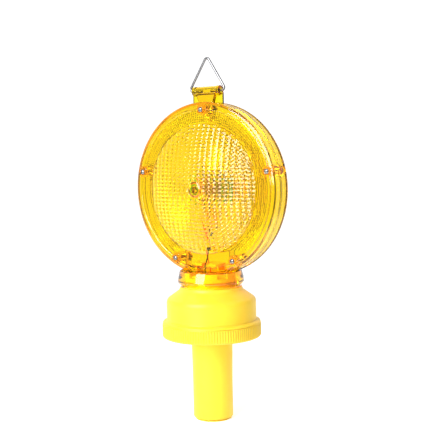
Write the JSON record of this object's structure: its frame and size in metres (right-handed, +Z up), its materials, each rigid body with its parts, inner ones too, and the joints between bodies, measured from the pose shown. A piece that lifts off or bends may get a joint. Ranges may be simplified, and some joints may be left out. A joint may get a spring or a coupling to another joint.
{
  "type": "warning lamp",
  "caption": "Two-sided amber barricade warning lamp: round clamshell lens head with a wire bail, on a yellow battery base with a knurled collar and a spigot for a traffic cone.",
  "frame": {"origin": "centre of the object's box at its lowest face, which is the end of the spigot", "axes": "+Z up along the spigot and head swivel axis, -Y out of the front lens, +X along the bail's barrel"},
  "size_m": [0.185, 0.1072, 0.3906],
  "materials": {
    "lens_amber": "clear amber-yellow moulding, polished outside, prism pattern inside",
    "housing_plastic": "opaque bright yellow moulding, soft satin",
    "guide_plastic": "orange moulding, satin",
    "screw_steel": "bright zinc plate",
    "bail_steel": "bright drawn wire",
    "spring_steel": "nickel-plated spring wire",
    "switch_steel": "tinned sheet",
    "contact_brass": "plain sheet brass",
    "cell_jacket": null,
    "capacitor_can": "dark sleeve",
    "seal_rubber": "black, matt",
    "circuit_board": "green lacquered laminate",
    "connector_plastic": "natural nylon",
    "black_plastic": "black, satin",
    "clear_resin": "water-clear epoxy",
    "red_insulation": "red PVC",
    "black_insulation": "black PVC"
  },
  "bodies": {
    "spigot": {"battery_tube": "housing_plastic", "tube_plug": "housing_plastic", "contact_spring": "spring_steel", "negative_strip": "contact_brass", "contact_ring": "contact_brass", "d_cell_lower": "cell_jacket", "d_cell_upper": "cell_jacket"},
    "gasket": {"cap_gasket": "seal_rubber"},
    "base": {"base_housing": "housing_plastic", "neck_deck": "housing_plastic", "photocell": "clear_resin", "control_board": "circuit_board", "board_screw_left": "screw_steel", "board_screw_right": "screw_steel", "wire_header": "connector_plastic", "wire_plug": "connector_plastic", "flasher_chip": "black_plastic", "timing_capacitor": "capacitor_can", "switch_body": "switch_steel", "positive_contact": "contact_brass", "negative_contact": "contact_brass"},
    "switch": {"switch_slider": "black_plastic"},
    "head": {"front_lens": "lens_amber", "rear_lens": "lens_amber", "lens_screw_top": "screw_steel", "lens_screw_right": "screw_steel", "lens_screw_left": "screw_steel", "lens_screw_low_right": "screw_steel", "lens_screw_low_left": "screw_steel", "led_board": "circuit_board", "led_screw_left": "screw_steel", "led_screw_right": "screw_steel", "led_front": "clear_resin", "led_rear": "clear_resin", "wire_guide": "guide_plastic", "red_wire": "red_insulation", "black_wire": "black_insulation"},
    "bail": {"bail_wire": "bail_steel"}
  },
  "joints": [
    {"name": "collar_lift", "type": "slide", "parent": "spigot", "child": "gasket", "axis": [0, 0, 1], "range_m": [0, 0.008]},
    {"name": "collar_unscrew", "type": "hinge", "parent": "gasket", "child": "base", "pos_m": [0, 0, 0.1], "axis": [0, 0, 1], "range_deg": [0, 720]},
    {"name": "switch_slide", "type": "slide", "parent": "base", "child": "switch", "axis": [1, 0, 0], "range_m": [-0.002, 0.002]},
    {"name": "head_swivel", "type": "hinge", "parent": "base", "child": "head", "pos_m": [0, 0, 0.1495], "axis": [0, 0, 1], "range_deg": [-180, 180]},
    {"name": "bail_swing", "type": "hinge", "parent": "head", "child": "bail", "pos_m": [0, 0, 0.3546], "axis": [1, 0, 0], "range_deg": [-125, 125]}
  ],
  "couplings": [
    {"joint": "collar_lift", "follows": "collar_unscrew", "m_per_rad": 0.00063661}
  ]
}
